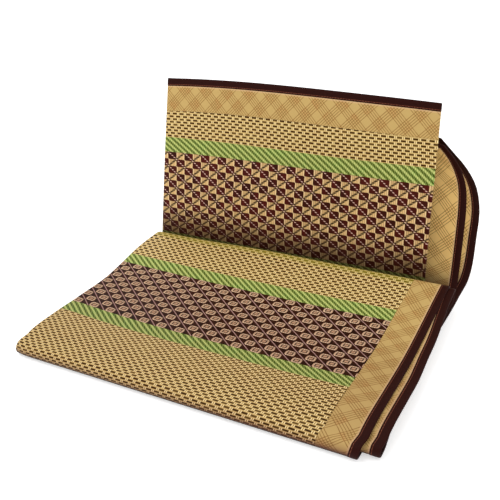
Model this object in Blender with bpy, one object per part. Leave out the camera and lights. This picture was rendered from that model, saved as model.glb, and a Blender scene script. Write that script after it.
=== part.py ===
"""A woven sleeping mat, folded in four one way and then back and forth the other way.

The flat stack lies in front. The last length of the mat stands up behind it as a panel
that leans back a little, and at the panel's right side the two rear layers bulge out
behind it in a loop. Metres, +Z up, the front fold towards -Y.
"""
import math

import bmesh
import bpy
from mathutils import Vector

# Cloth and trim
CLOTH_THICKNESS = 0.0016
BINDING_THICKNESS = 0.0020
BINDING_LIP = 0.0012
BINDING_WIDTH = 0.012
BORDER_WIDTH = 0.040
SEAM_GAP = 0.0003
LAYER_PITCH = 0.0024

# The folded stack
PLY_GAP = 0.0004
PLY_HALF = 1.5 * LAYER_PITCH + BINDING_THICKNESS / 2
FLOOR_LEVEL = PLY_HALF
TUCKED_LEVEL = FLOOR_LEVEL + 2 * PLY_HALF + PLY_GAP
TOP_LEVEL = TUCKED_LEVEL + 2 * PLY_HALF + PLY_GAP
TUCKED_END_Y = 0.062
FRONT_FOLD_RADIUS = 0.0057
BACK_FOLD_RADIUS = 0.0118
CREASE_RADIUS = 0.014
CREASE_Y = 0.330
BACK_EDGE_Y = 0.3385
FRONT_SET_BACK = 0.010
FRONT_SET_BACK_REACH = 0.060
CORNER_RADIUS = 0.024
CORNER_DEPTH = 0.0030
CORNER_REACH = 0.053
BACK_DROOP = 0.24
BACK_DROOP_WIDTH = 0.200
BACK_DROOP_LENGTH = 0.090
FLOOR_FRONT_SHARE = 0.35

# Slopes of the top, in degrees, counted down towards the front
BACK_SLOPE = 5.0
MIDDLE_SLOPE = -1.6
FRONT_SLOPE = 13.0
SAG_LENGTH = 0.075
MIDDLE_LENGTH = 0.044
DOME_LENGTH = 0.062

# The upright panel
PANEL_LENGTH = 0.271
PANEL_LEAN = 10.5
PANEL_CURL = 3.0
PANEL_LEFT_X = -0.240
PANEL_SWING = 0.021
PANEL_SWING_WIDTH = 0.440
PANEL_SWING_LOSS = 0.85
PANEL_BOW = 0.006
PANEL_BOW_WIDTH = 0.520
PANEL_BOW_SKEW = 0.8

# Soft waves: their height in metres and their turns per metre each way
PANEL_WAVE = {"height": 0.0022, "x": 17.0, "x_start": 0.6, "z": 19.0, "z_start": 0.4, "fade": 0.120}
TOP_WAVE = {"height": 0.0008, "x": 14.0, "x_start": 1.1, "y": 11.0, "y_start": 0.5}

# Where the edges of the layers lie across the mat, at the end of each stretch of its length
START_WIDTHS = {"left": -0.2480, "edge_one": 0.243, "edge_two": 0.252, "fold": 0.206}

# Stretches along the mat's length, from the tucked end to the panel's head
STRETCHES = (
    {"name": "tucked", "rows": 4, "left": -0.2500, "edge_one": 0.244, "edge_two": 0.250, "fold": 0.206},
    {"name": "back_fold", "rows": 6, "left": -0.2460, "edge_one": 0.249, "edge_two": 0.258, "fold": 0.206},
    {"name": "top_back", "rows": 3, "left": -0.2425, "edge_one": 0.250, "edge_two": 0.266, "fold": 0.206},
    {"name": "top_sag", "rows": 3, "left": -0.2480, "edge_one": 0.250, "edge_two": 0.269, "fold": 0.206},
    {"name": "top_middle", "rows": 1, "left": -0.2500, "edge_one": 0.250, "edge_two": 0.269, "fold": 0.206},
    {"name": "top_dome", "rows": 4, "left": -0.2560, "edge_one": 0.249, "edge_two": 0.268, "fold": 0.206},
    {"name": "top_front", "rows": 1, "left": -0.2600, "edge_one": 0.246, "edge_two": 0.266, "fold": 0.206},
    {"name": "front_fold", "rows": 6, "left": -0.2630, "edge_one": 0.242, "edge_two": 0.265, "fold": 0.206},
    {"name": "floor_front", "rows": 2, "left": -0.2530, "edge_one": 0.248, "edge_two": 0.255, "fold": 0.206},
    {"name": "floor_back", "rows": 3, "left": -0.2470, "edge_one": 0.253, "edge_two": 0.250, "fold": 0.202},
    {"name": "crease", "rows": 4, "left": -0.2485, "edge_one": 0.253, "edge_two": 0.250, "fold": 0.201},
    {"name": "panel", "rows": 12, "left": -0.2415, "edge_one": 0.253, "edge_two": 0.250, "fold": 0.200},
)

# The bound edge of the rearmost layer as it bulges behind the panel, from the crease up
OUTER_LOOP = (
    {"x": 0.2530, "y": 0.354, "z": 0.0010},
    {"x": 0.2530, "y": 0.392, "z": 0.0010},
    {"x": 0.2550, "y": 0.416, "z": 0.0080},
    {"x": 0.2545, "y": 0.440, "z": 0.0240},
    {"x": 0.2505, "y": 0.470, "z": 0.0520},
    {"x": 0.2470, "y": 0.493, "z": 0.0870},
    {"x": 0.2400, "y": 0.489, "z": 0.1270},
    {"x": 0.2290, "y": 0.462, "z": 0.1660},
    {"x": 0.2150, "y": 0.434, "z": 0.1980},
    {"x": 0.2010, "y": 0.412, "z": 0.2260},
)

# The bound edge of the layer between it and the panel
INNER_LOOP = (
    {"x": 0.2500, "y": 0.354, "z": 0.0034},
    {"x": 0.2460, "y": 0.381, "z": 0.0034},
    {"x": 0.2430, "y": 0.402, "z": 0.0150},
    {"x": 0.2420, "y": 0.414, "z": 0.0420},
    {"x": 0.2420, "y": 0.420, "z": 0.0780},
    {"x": 0.2410, "y": 0.427, "z": 0.1180},
    {"x": 0.2370, "y": 0.428, "z": 0.1550},
    {"x": 0.2250, "y": 0.420, "z": 0.1890},
    {"x": 0.2080, "y": 0.404, "z": 0.2190},
)
LOOP_TAPER = 1.5

# Columns across one layer, and round each fold
LAYER_COLUMNS = 5
OUTER_FOLD_STEPS = 4
INNER_FOLD_STEPS = 4
LAYER_WIDTH = 0.500
LIP_LINE = 0.003
FIRST_ROW_ROOM = 0.012
LAST_ROW_ROOM = 0.008
SHARP_ANGLE = 50.0

FINISHES = {
    "Woven_field": {"color": (0.56, 0.40, 0.20, 1.0), "roughness": 0.55},
    "Border": {"color": (0.68, 0.50, 0.26, 1.0), "roughness": 0.60},
    "Binding": {"color": (0.035, 0.012, 0.010, 1.0), "roughness": 0.45},
}


def clear_scene():
    for item in list(bpy.data.objects):
        bpy.data.objects.remove(item, do_unlink=True)


def ease(value):
    value = min(1.0, max(0.0, value))
    return value * value * (3 - 2 * value)


def make_material(name):
    finish = FINISHES[name]
    material = bpy.data.materials.new(name)
    material.use_nodes = True
    shader = material.node_tree.nodes["Principled BSDF"]
    shader.inputs["Base Color"].default_value = finish["color"]
    shader.inputs["Roughness"].default_value = finish["roughness"]
    shader.inputs["Metallic"].default_value = 0.0
    return material


def stretch_shapes():
    """Length in metres and turn in radians of each stretch of the mat's middle line."""
    back, middle, front = (math.radians(v) for v in (BACK_SLOPE, MIDDLE_SLOPE, FRONT_SLOPE))

    def drop_of_arc(length, start, end):
        return length * (math.cos(start) - math.cos(end)) / (end - start)

    def run_of_arc(length, start, end):
        return length * (math.sin(end) - math.sin(start)) / (end - start)

    fold_rise = BACK_FOLD_RADIUS * (1 + math.cos(back))
    sag_drop = drop_of_arc(SAG_LENGTH, back, middle)
    back_length = (fold_rise - (TOP_LEVEL - TUCKED_LEVEL) - sag_drop) / math.sin(back)
    hump_rise = -MIDDLE_LENGTH * math.sin(middle) - drop_of_arc(DOME_LENGTH, middle, front)
    fold_drop = FRONT_FOLD_RADIUS * (1 + math.cos(front))
    front_length = (TOP_LEVEL + hump_rise - FLOOR_LEVEL - fold_drop) / math.sin(front)

    top_run = (back_length * math.cos(back) + run_of_arc(SAG_LENGTH, back, middle)
               + MIDDLE_LENGTH * math.cos(middle) + run_of_arc(DOME_LENGTH, middle, front)
               + front_length * math.cos(front))
    fold_centre_y = BACK_EDGE_Y - BACK_FOLD_RADIUS - PLY_HALF
    tucked_length = fold_centre_y - TUCKED_END_Y
    floor_start = fold_centre_y - BACK_FOLD_RADIUS * math.sin(back) - top_run
    floor_start = floor_start + FRONT_FOLD_RADIUS * math.sin(front)
    floor_length = CREASE_Y - floor_start
    lean_turn = math.radians(90 - PANEL_LEAN)
    return {
        "tucked": (tucked_length, 0.0),
        "back_fold": (BACK_FOLD_RADIUS * (math.pi + back), math.pi + back),
        "top_back": (back_length, 0.0),
        "top_sag": (SAG_LENGTH, middle - back),
        "top_middle": (MIDDLE_LENGTH, 0.0),
        "top_dome": (DOME_LENGTH, front - middle),
        "top_front": (front_length, 0.0),
        "front_fold": (FRONT_FOLD_RADIUS * (math.pi - front), math.pi - front),
        "floor_front": (FLOOR_FRONT_SHARE * floor_length, 0.0),
        "floor_back": ((1 - FLOOR_FRONT_SHARE) * floor_length, 0.0),
        "crease": (CREASE_RADIUS * lean_turn, lean_turn),
        "panel": (PANEL_LENGTH, -math.radians(PANEL_CURL)),
    }


class MiddleLine:
    """The line that the middle of the four layers follows, as stretches of constant bend."""

    def __init__(self):
        self.spans = []
        shapes = stretch_shapes()
        y, z, heading, start = TUCKED_END_Y, TUCKED_LEVEL, 0.0, 0.0
        widths = START_WIDTHS
        for row in STRETCHES:
            length, turn = shapes[row["name"]]
            self.spans.append({"name": row["name"], "start": start, "length": length, "turn": turn,
                               "y": y, "z": z, "heading": heading, "before": widths, "after": row,
                               "rows": row["rows"]})
            y, z, heading = self.walk(self.spans[-1], length)
            start += length
            widths = row
        self.length = start

    @staticmethod
    def walk(span, distance):
        heading = span["heading"]
        bend = span["turn"] / span["length"]
        if abs(span["turn"]) < 1e-9:
            return (span["y"] + distance * math.cos(heading), span["z"] + distance * math.sin(heading), heading)
        turned = heading + bend * distance
        y = span["y"] + (math.sin(turned) - math.sin(heading)) / bend
        z = span["z"] - (math.cos(turned) - math.cos(heading)) / bend
        return (y, z, turned)

    def span_at(self, place):
        for span in self.spans:
            if place <= span["start"] + span["length"] + 1e-9:
                return span
        return self.spans[-1]

    def span_named(self, name):
        return next(span for span in self.spans if span["name"] == name)

    def at(self, place):
        span = self.span_at(place)
        distance = place - span["start"]
        y, z, heading = self.walk(span, distance)
        part = ease(distance / span["length"])
        widths = {}
        for key in START_WIDTHS:
            widths[key] = span["before"][key] + part * (span["after"][key] - span["before"][key])
        return {"y": y, "z": z, "heading": heading, "widths": widths}

    def rows(self):
        """Places along the line for the mesh, with one on each side of every seam."""
        places = [span["start"] + span["length"] * i / span["rows"]
                  for span in self.spans for i in range(1, span["rows"] + 1)]
        seams = seam_places()
        ends = seams + [self.length - v for v in reversed(seams)]
        first = seams[-1] + FIRST_ROW_ROOM
        last = self.length - seams[-1] - LAST_ROW_ROOM
        inside = [v for v in places if first < v < last]
        return sorted(ends + inside)


def seam_places():
    """Distances from a bound edge to the mesh lines of the binding, the border and the field."""
    half = SEAM_GAP / 2
    binding_end = BINDING_WIDTH
    border_end = BINDING_WIDTH + BORDER_WIDTH
    return [0.0, LIP_LINE, binding_end - half, binding_end + half,
            border_end - half, border_end + half]


def smooth_through(points, part):
    """A smooth curve through the rows of a short table, at a part of its way from 0 to 1."""
    count = len(points) - 1
    position = min(max(part, 0.0), 1.0) * count
    index = min(int(position), count - 1)
    step = position - index
    keys = ("x", "y", "z")
    near = [Vector([points[min(max(index + k, 0), count)][key] for key in keys]) for k in (-1, 0, 1, 2)]
    before, start, end, after = near
    pull = (end - before) * step
    bend = (before * 2 - start * 5 + end * 4 - after) * step ** 2
    twist = (start * 3 - before - end * 3 + after) * step ** 3
    return start + (pull + bend + twist) / 2


def across_columns():
    """Columns across the mat, from the bound edge of layer one round to that of layer two.

    A column has its layer, its offset from the middle line, how far its front fold is set
    back, and either its part of the way from the left fold to its edge or its bulge in a fold.
    """
    pitch = LAYER_PITCH
    seams = [1 - v / LAYER_WIDTH for v in seam_places()]
    corner = CORNER_RADIUS / LAYER_WIDTH
    inner = seams[-1]
    field = [inner - (inner - corner) * i / LAYER_COLUMNS for i in range(1, LAYER_COLUMNS + 1)] + [0.0]
    folded = [0.0] + [corner + (1 - corner) * i / LAYER_COLUMNS for i in range(LAYER_COLUMNS + 1)]

    def layer_columns(layer, parts):
        offset = {1: 1.5, 2: 0.5, 3: -0.5, 4: -1.5}[layer] * pitch
        depth = 0.0 if layer == 1 else 1.0
        return [{"layer": layer, "offset": offset, "depth": depth, "part": v} for v in parts]

    def fold_columns(side, middle, radius, steps):
        made = []
        for i in range(1, steps):
            angle = math.pi * i / steps
            depth = ease(2 * i / steps) if middle + radius > pitch else 1.0
            made.append({"layer": 0, "offset": middle + radius * math.cos(angle), "depth": depth,
                         "bulge": abs(radius) * math.sin(angle) * (-1 if side == "left" else 1), "side": side})
        return made

    columns = layer_columns(1, seams + field)
    columns += fold_columns("left", 0.0, 1.5 * pitch, OUTER_FOLD_STEPS)
    columns += layer_columns(4, folded)
    columns += fold_columns("fold", -pitch, -0.5 * pitch, INNER_FOLD_STEPS)
    columns += layer_columns(3, reversed(folded))
    columns += fold_columns("left", 0.0, -0.5 * pitch, INNER_FOLD_STEPS)
    columns += layer_columns(2, list(reversed(field)) + list(reversed(seams)))
    return columns


def place_across(column, widths):
    """X of a column, and how far it lies from the left fold to its layer's edge, from 0 to 1."""
    if "side" in column:
        return widths[column["side"]] + column["bulge"], 0.0
    edge_key = {1: "edge_one", 2: "edge_two"}.get(column["layer"], "fold")
    left = widths["left"]
    return left + (widths[edge_key] - left) * column["part"], column["part"]


class FoldedMat:
    """Turns a column across the mat and a place along it into a point in space."""

    def __init__(self):
        self.line = MiddleLine()
        self.columns = across_columns()
        self.rows = self.line.rows()
        self.front = self.line.span_named("front_fold")
        self.crease = self.line.span_named("crease")
        self.panel = self.line.span_named("panel")
        self.floor = self.line.span_named("floor_back")

    def point(self, column, place):
        here = self.line.at(place)
        x, part = place_across(column, here["widths"])
        offset = column["offset"]
        y = here["y"] + offset * math.sin(here["heading"])
        z = here["z"] - offset * math.cos(here["heading"])
        if column["layer"] in (1, 2):
            x, y, z = self.bulge(column["layer"], part, place, x, y, z)
        y += self.set_back(column["depth"], place) + self.round_corner(x, here, place)
        y += self.swing(x, place)
        z += self.bow(x, place)
        point = self.unevenness(Vector((x, y, z)), place)
        point.z += self.droop(point, place)
        return point

    def bulge(self, layer, part, place, x, y, z):
        """Carries the two rear layers from the folded stack at the left out to their loops."""
        start = self.crease["start"]
        if place <= start:
            return x, y, z
        way = (place - start) / (self.line.length - start)
        edge = smooth_through(OUTER_LOOP if layer == 1 else INNER_LOOP, way)
        here = self.line.at(place)
        offset = (1.5 if layer == 1 else 0.5) * LAYER_PITCH
        base_x = here["widths"]["edge_one" if layer == 1 else "edge_two"]
        base_y = here["y"] + offset * math.sin(here["heading"]) + self.swing(base_x, place)
        base_z = here["z"] - offset * math.cos(here["heading"])
        share = part ** LOOP_TAPER
        lifted = max(edge.z, FLOOR_LEVEL - offset)
        return (x + part * (edge.x - base_x), y + share * (edge.y - base_y), z + share * (lifted - base_z))

    def set_back(self, depth, place):
        """The inner layers' front fold lies a little behind the outermost one."""
        middle = self.front["start"] + self.front["length"] / 2
        near = 1 - abs(place - middle) / FRONT_SET_BACK_REACH
        return FRONT_SET_BACK * ease(near) * depth

    def round_corner(self, x, here, place):
        """The front left corner, where the two folds meet, is rounded."""
        middle = self.front["start"] + self.front["length"] / 2
        near = 1 - abs(place - middle) / CORNER_REACH
        inside = here["widths"]["left"] - 1.5 * LAYER_PITCH + CORNER_RADIUS - x
        reach = min(1.0, max(0.0, inside / CORNER_RADIUS))
        return CORNER_DEPTH * reach ** 2 * ease(near)

    def swing(self, x, place):
        """The panel's foot stands further back at the right than at the left."""
        before = (place - self.floor["start"]) / (self.crease["start"] - self.floor["start"])
        after = (place - self.panel["start"]) / self.panel["length"]
        amount = ease(before) * (1 - PANEL_SWING_LOSS * max(0.0, after))
        return PANEL_SWING * amount * (x - PANEL_LEFT_X) / PANEL_SWING_WIDTH

    def bow(self, x, place):
        """The head of the panel stands highest left of the middle."""
        after = (place - self.panel["start"]) / self.panel["length"]
        part = min(1.0, max(0.0, (x - PANEL_LEFT_X) / PANEL_BOW_WIDTH))
        across = math.sin(math.pi * part ** PANEL_BOW_SKEW)
        return PANEL_BOW * ease(after) * across

    def unevenness(self, point, place):
        """Soft waves that fade out at the floor, so that the mat still rests flat."""
        if place > self.crease["start"]:
            wave = PANEL_WAVE
            share = ease((place - self.crease["start"]) / wave["fade"])
            across = math.sin(point.x * wave["x"] + wave["x_start"])
            point.y += wave["height"] * share * across * math.sin(point.z * wave["z"] + wave["z_start"])
            return point
        wave = TOP_WAVE
        share = ease((point.z - TUCKED_LEVEL) / (TOP_LEVEL - TUCKED_LEVEL))
        across = math.sin(point.x * wave["x"] + wave["x_start"])
        point.z += wave["height"] * share * (1 + across * math.sin(point.y * wave["y"] + wave["y_start"]))
        return point

    def droop(self, point, place):
        """The raised back of the stack sinks a little at its left corner."""
        if place > self.front["start"] or point.z < TUCKED_LEVEL:
            return 0.0
        across = ease(-point.x / BACK_DROOP_WIDTH)
        along = ease((point.y - BACK_EDGE_Y + BACK_DROOP_LENGTH) / BACK_DROOP_LENGTH)
        return -BACK_DROOP * across * along * (point.z - TUCKED_LEVEL)


def patch_mesh(name, points, normals, first, last, half_thickness):
    """A closed sheet between two columns and two rows of the mat."""
    mesh = bmesh.new()
    column_range = range(first[0], last[0] + 1)
    row_range = range(first[1], last[1] + 1)
    sides = []
    for sign in (1, -1):
        sheet = {}
        for i in column_range:
            for j in row_range:
                sheet[i, j] = mesh.verts.new(points[i][j] + normals[i][j] * sign * half_thickness(i, j))
        sides.append(sheet)
    front, rear = sides
    for i in column_range[:-1]:
        for j in row_range[:-1]:
            corners = ((i, j), (i + 1, j), (i + 1, j + 1), (i, j + 1))
            mesh.faces.new([front[c] for c in corners])
            mesh.faces.new([rear[c] for c in reversed(corners)])
    rim = [(i, first[1]) for i in column_range[:-1]]
    rim += [(last[0], j) for j in row_range[:-1]]
    rim += [(i, last[1]) for i in reversed(column_range[1:])]
    rim += [(first[0], j) for j in reversed(row_range[1:])]
    for here, after in zip(rim, rim[1:] + rim[:1]):
        mesh.faces.new([front[after], front[here], rear[here], rear[after]])
    bmesh.ops.recalc_face_normals(mesh, faces=mesh.faces)
    bmesh.ops.triangulate(mesh, faces=mesh.faces)
    data = bpy.data.meshes.new(name)
    mesh.to_mesh(data)
    mesh.free()
    return data


def grid_of(mat):
    points = [[mat.point(column, place) for place in mat.rows] for column in mat.columns]
    normals = []
    last_column, last_row = len(mat.columns) - 1, len(mat.rows) - 1
    for i in range(last_column + 1):
        line = []
        for j in range(last_row + 1):
            across = points[min(i + 1, last_column)][j] - points[max(i - 1, 0)][j]
            along = points[i][min(j + 1, last_row)] - points[i][max(j - 1, 0)]
            line.append(across.cross(along).normalized())
        normals.append(line)
    return points, normals


def add_piece(name, mesh, material, frame):
    piece = bpy.data.objects.new(name, mesh)
    mesh.materials.append(material)
    piece.parent = frame
    bpy.context.scene.collection.objects.link(piece)
    mesh.shade_smooth()
    mesh.set_sharp_from_angle(angle=math.radians(SHARP_ANGLE))
    return piece


def build_mat():
    frame = bpy.data.objects.new("Mat_frame", None)
    bpy.context.scene.collection.objects.link(frame)
    mat = FoldedMat()
    points, normals = grid_of(mat)
    materials = {name: make_material(name) for name in FINISHES}
    last_column, last_row = len(mat.columns) - 1, len(mat.rows) - 1

    def cloth_half(i, j):
        return CLOTH_THICKNESS / 2

    def binding_half(i, j):
        on_lip = min(i, last_column - i, j, last_row - j) == 0
        return (BINDING_LIP if on_lip else BINDING_THICKNESS) / 2

    pieces = (
        ("Woven_field", (5, 5), (last_column - 5, last_row - 5), cloth_half, "Woven_field"),
        ("Border_edge_one", (3, 3), (4, last_row - 3), cloth_half, "Border"),
        ("Border_edge_two", (last_column - 4, 3), (last_column - 3, last_row - 3), cloth_half, "Border"),
        ("Border_head", (5, last_row - 4), (last_column - 5, last_row - 3), cloth_half, "Border"),
        ("Border_tucked_end", (5, 3), (last_column - 5, 4), cloth_half, "Border"),
        ("Binding_edge_one", (0, 0), (2, last_row), binding_half, "Binding"),
        ("Binding_edge_two", (last_column - 2, 0), (last_column, last_row), binding_half, "Binding"),
        ("Binding_head", (3, last_row - 2), (last_column - 3, last_row), binding_half, "Binding"),
        ("Binding_tucked_end", (3, 0), (last_column - 3, 2), binding_half, "Binding"),
    )
    made = []
    for name, first, last, half_thickness, material in pieces:
        mesh = patch_mesh(name, points, normals, first, last, half_thickness)
        made.append(add_piece(name, mesh, materials[material], frame))
    centre_on_floor(frame, made)
    return made


def centre_on_floor(frame, pieces):
    """Puts the middle of the whole mat's underside at the origin."""
    corners = [vertex.co for piece in pieces for vertex in piece.data.vertices]
    middle_x = (min(c.x for c in corners) + max(c.x for c in corners)) / 2
    middle_y = (min(c.y for c in corners) + max(c.y for c in corners)) / 2
    frame.location = (-middle_x, -middle_y, -min(c.z for c in corners))


clear_scene()
build_mat()
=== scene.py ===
from math import ceil, cos, pi, radians, sin

import bpy
from mathutils import Matrix, Vector


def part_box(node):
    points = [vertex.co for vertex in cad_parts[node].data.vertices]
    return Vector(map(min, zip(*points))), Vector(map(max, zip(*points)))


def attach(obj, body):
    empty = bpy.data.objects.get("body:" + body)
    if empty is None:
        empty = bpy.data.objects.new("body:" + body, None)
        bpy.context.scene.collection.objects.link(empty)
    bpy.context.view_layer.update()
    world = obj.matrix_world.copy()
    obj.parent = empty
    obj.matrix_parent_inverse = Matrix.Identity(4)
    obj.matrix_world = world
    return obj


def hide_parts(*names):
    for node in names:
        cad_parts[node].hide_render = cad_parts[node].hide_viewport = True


# A woven sleeping mat, folded in four across and then back and forth along its length.
# Metres, the same frame as the solids. In the patterns, places on the unfolded cloth are in mm: u across
# it from bound edge one, v along it from the tucked end.

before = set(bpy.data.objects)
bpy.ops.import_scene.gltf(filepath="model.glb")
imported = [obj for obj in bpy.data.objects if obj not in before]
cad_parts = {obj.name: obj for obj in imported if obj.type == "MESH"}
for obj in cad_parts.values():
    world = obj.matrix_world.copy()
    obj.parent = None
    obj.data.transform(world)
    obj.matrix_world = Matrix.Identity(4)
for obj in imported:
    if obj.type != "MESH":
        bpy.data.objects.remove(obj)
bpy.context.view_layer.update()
print("frame loaded:", len(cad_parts), "parts")

# How the mat is cut and how close its layers lie
cloth = {
    "thickness": 0.0016, "seamGap": 0.0003,
    "bindingWidth": 0.012, "borderStart": 0.0114, "borderWidth": 0.040,
    "layerPitch": 0.0024, "layerWidth": 0.500, "shortLayerWidth": 0.456,
}

# The flat stack, the same shape as the solids: metres, slopes in degrees, waves in radians
stack = {
    "plyHalf": 0.0046, "plyGap": 0.0004, "tuckedEndY": 0.062,
    "frontFoldRadius": 0.0057, "backFoldRadius": 0.0118, "creaseRadius": 0.014,
    "creaseY": 0.330, "backEdgeY": 0.3385, "floorFrontShare": 0.35,
    "frontSetBack": 0.010, "frontSetBackReach": 0.060,
    "cornerRadius": 0.024, "cornerDepth": 0.0030, "cornerReach": 0.053,
    "backDroop": 0.24, "backDroopWidth": 0.200, "backDroopLength": 0.090,
    "backSlope": 5.0, "middleSlope": -1.6, "frontSlope": 13.0,
    "sagLength": 0.075, "middleLength": 0.044, "domeLength": 0.062,
    "waveHeight": 0.0008, "waveAcross": (14, 1.1), "waveAlong": (11, 0.5),
}

# From one length of the mat to the next above it, and the height of the tucked length
layerStep = 2 * stack["plyHalf"] + stack["plyGap"]
tuckedLevel = stack["plyHalf"] + layerStep

# The length that stands up behind: metres, lean and curl in degrees, waves in radians
panel = {
    "length": 0.271, "lean": 10.5, "curl": 3.0, "leftX": -0.240,
    "swing": 0.021, "swingWidth": 0.440, "swingLoss": 0.85,
    "bow": 0.006, "bowWidth": 0.520, "bowSkew": 0.8,
    "waveHeight": 0.0022, "waveFade": 0.120, "waveAcross": (17, 0.6), "waveUp": (19, 0.4),
    "loopTaper": 1.5,
}

# Where the edges of the layers lie across the mat, at its start and at the end of each stretch
widthNames = ("left", "edgeOne", "edgeTwo", "fold")
startWidths = (-0.2480, 0.243, 0.252, 0.206)
stretchEnds = {
    "tucked": (-0.2500, 0.244, 0.250, 0.206),
    "backFold": (-0.2460, 0.249, 0.258, 0.206),
    "topBack": (-0.2425, 0.250, 0.266, 0.206),
    "topSag": (-0.2480, 0.250, 0.269, 0.206),
    "topMiddle": (-0.2500, 0.250, 0.269, 0.206),
    "topDome": (-0.2560, 0.249, 0.268, 0.206),
    "topFront": (-0.2600, 0.246, 0.266, 0.206),
    "frontFold": (-0.2630, 0.242, 0.265, 0.206),
    "floorFront": (-0.2530, 0.248, 0.255, 0.206),
    "floorBack": (-0.2470, 0.253, 0.250, 0.202),
    "crease": (-0.2485, 0.253, 0.250, 0.201),
    "panel": (-0.2415, 0.253, 0.250, 0.200),
}

# Bound edges of the two rear layers where they loop out behind the panel: x, y and z, from the crease up
outerLoop = [
    (0.2530, 0.354, 0.0010), (0.2530, 0.392, 0.0010), (0.2550, 0.416, 0.0080), (0.2545, 0.440, 0.0240),
    (0.2505, 0.470, 0.0520), (0.2470, 0.493, 0.0870), (0.2400, 0.489, 0.1270), (0.2290, 0.462, 0.1660),
    (0.2150, 0.434, 0.1980), (0.2010, 0.412, 0.2260),
]
innerLoop = [
    (0.2500, 0.354, 0.0034), (0.2460, 0.381, 0.0034), (0.2430, 0.402, 0.0150), (0.2420, 0.414, 0.0420),
    (0.2420, 0.420, 0.0780), (0.2410, 0.427, 0.1180), (0.2370, 0.428, 0.1550), (0.2250, 0.420, 0.1890),
    (0.2080, 0.404, 0.2190),
]

# How fine the sheets are: steps in metres on flat stretches, degrees round the folds and at a sharp edge
fineness = {"along": 0.011, "across": 0.015, "least": 0.004, "turn": 9.0, "sharp": 50.0,
            "outerFoldSteps": 14, "innerFoldSteps": 8, "borderSteps": 4}

# Room for rounding where places and counts are compared
tiny = 1e-9
slack = 1e-6


def easeStep(value):
    value = min(1.0, max(0.0, value))
    return value * value * (3 - 2 * value)


# Length and turn of each stretch of the line that the middle of the four layers follows
def stretchShapes():
    back = radians(stack["backSlope"])
    middle = radians(stack["middleSlope"])
    front = radians(stack["frontSlope"])
    backRadius, frontRadius = stack["backFoldRadius"], stack["frontFoldRadius"]
    sag, level, dome = stack["sagLength"], stack["middleLength"], stack["domeLength"]

    def arcDrop(length, start, end):
        return length * (cos(start) - cos(end)) / (end - start)

    def arcRun(length, start, end):
        return length * (sin(end) - sin(start)) / (end - start)

    foldRise = backRadius * (1 + cos(back))
    sagDrop = arcDrop(sag, back, middle)
    backLength = (foldRise - layerStep - sagDrop) / sin(back)
    humpRise = -level * sin(middle) - arcDrop(dome, middle, front)
    foldDrop = frontRadius * (1 + cos(front))
    frontLength = (2 * layerStep + humpRise - foldDrop) / sin(front)
    topRun = backLength * cos(back) + arcRun(sag, back, middle)
    topRun += level * cos(middle) + arcRun(dome, middle, front)
    topRun += frontLength * cos(front)
    foldCentreY = stack["backEdgeY"] - backRadius - stack["plyHalf"]
    floorStart = foldCentreY - backRadius * sin(back) - topRun + frontRadius * sin(front)
    floorLength = stack["creaseY"] - floorStart
    leanTurn = radians(90 - panel["lean"])
    return {
        "tucked": (foldCentreY - stack["tuckedEndY"], 0.0),
        "backFold": (backRadius * (pi + back), pi + back),
        "topBack": (backLength, 0.0),
        "topSag": (sag, middle - back),
        "topMiddle": (level, 0.0),
        "topDome": (dome, front - middle),
        "topFront": (frontLength, 0.0),
        "frontFold": (frontRadius * (pi - front), pi - front),
        "floorFront": (stack["floorFrontShare"] * floorLength, 0.0),
        "floorBack": ((1 - stack["floorFrontShare"]) * floorLength, 0.0),
        "crease": (stack["creaseRadius"] * leanTurn, leanTurn),
        "panel": (panel["length"], -radians(panel["curl"])),
    }


def walkStretch(stretch, distance):
    heading = stretch["heading"]
    bend = stretch["turn"] / stretch["length"]
    if abs(stretch["turn"]) < tiny:
        y = stretch["y"] + distance * cos(heading)
        z = stretch["z"] + distance * sin(heading)
        return y, z, heading
    turned = heading + bend * distance
    y = stretch["y"] + (sin(turned) - sin(heading)) / bend
    z = stretch["z"] - (cos(turned) - cos(heading)) / bend
    return y, z, turned


def layLine():
    line = []
    shapes = stretchShapes()
    y, z, heading, start = stack["tuckedEndY"], tuckedLevel, 0.0, 0.0
    before = startWidths
    for name, after in stretchEnds.items():
        length, turn = shapes[name]
        stretch = {"name": name, "start": start, "length": length, "turn": turn, "y": y, "z": z,
                   "heading": heading, "before": before, "after": after}
        line.append(stretch)
        y, z, heading = walkStretch(stretch, length)
        start += length
        before = after
    return line


matLine = layLine()
matLength = matLine[-1]["start"] + matLine[-1]["length"]
stretchNamed = {stretch["name"]: stretch for stretch in matLine}


def lineAt(place):
    reached = (each for each in matLine if place <= each["start"] + each["length"] + tiny)
    stretch = next(reached, matLine[-1])
    distance = place - stretch["start"]
    y, z, heading = walkStretch(stretch, distance)
    part = easeStep(distance / stretch["length"])
    widths = {}
    for name, before, after in zip(widthNames, stretch["before"], stretch["after"]):
        widths[name] = before + part * (after - before)
    return {"y": y, "z": z, "heading": heading, "widths": widths}


# The run of the cloth across the mat: each layer and fold in turn, from bound edge one to bound edge two
def acrossRuns():
    pitch = cloth["layerPitch"]
    full, short = cloth["layerWidth"], cloth["shortLayerWidth"]
    wide, tight = 1.5 * pitch, 0.5 * pitch
    return [
        {"layer": 1, "length": full, "offset": wide, "parts": (1.0, 0.0), "depth": 0.0},
        {"side": "left", "length": pi * wide, "middle": 0.0, "radius": wide, "deepens": True},
        {"layer": 4, "length": short, "offset": -wide, "parts": (0.0, 1.0), "depth": 1.0},
        {"side": "fold", "length": pi * tight, "middle": -pitch, "radius": -tight, "deepens": False},
        {"layer": 3, "length": short, "offset": -tight, "parts": (1.0, 0.0), "depth": 1.0},
        {"side": "left", "length": pi * tight, "middle": 0.0, "radius": -tight, "deepens": False},
        {"layer": 2, "length": full, "offset": tight, "parts": (0.0, 1.0), "depth": 1.0},
    ]


runs = acrossRuns()
matWidth = sum(run["length"] for run in runs)


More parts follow.
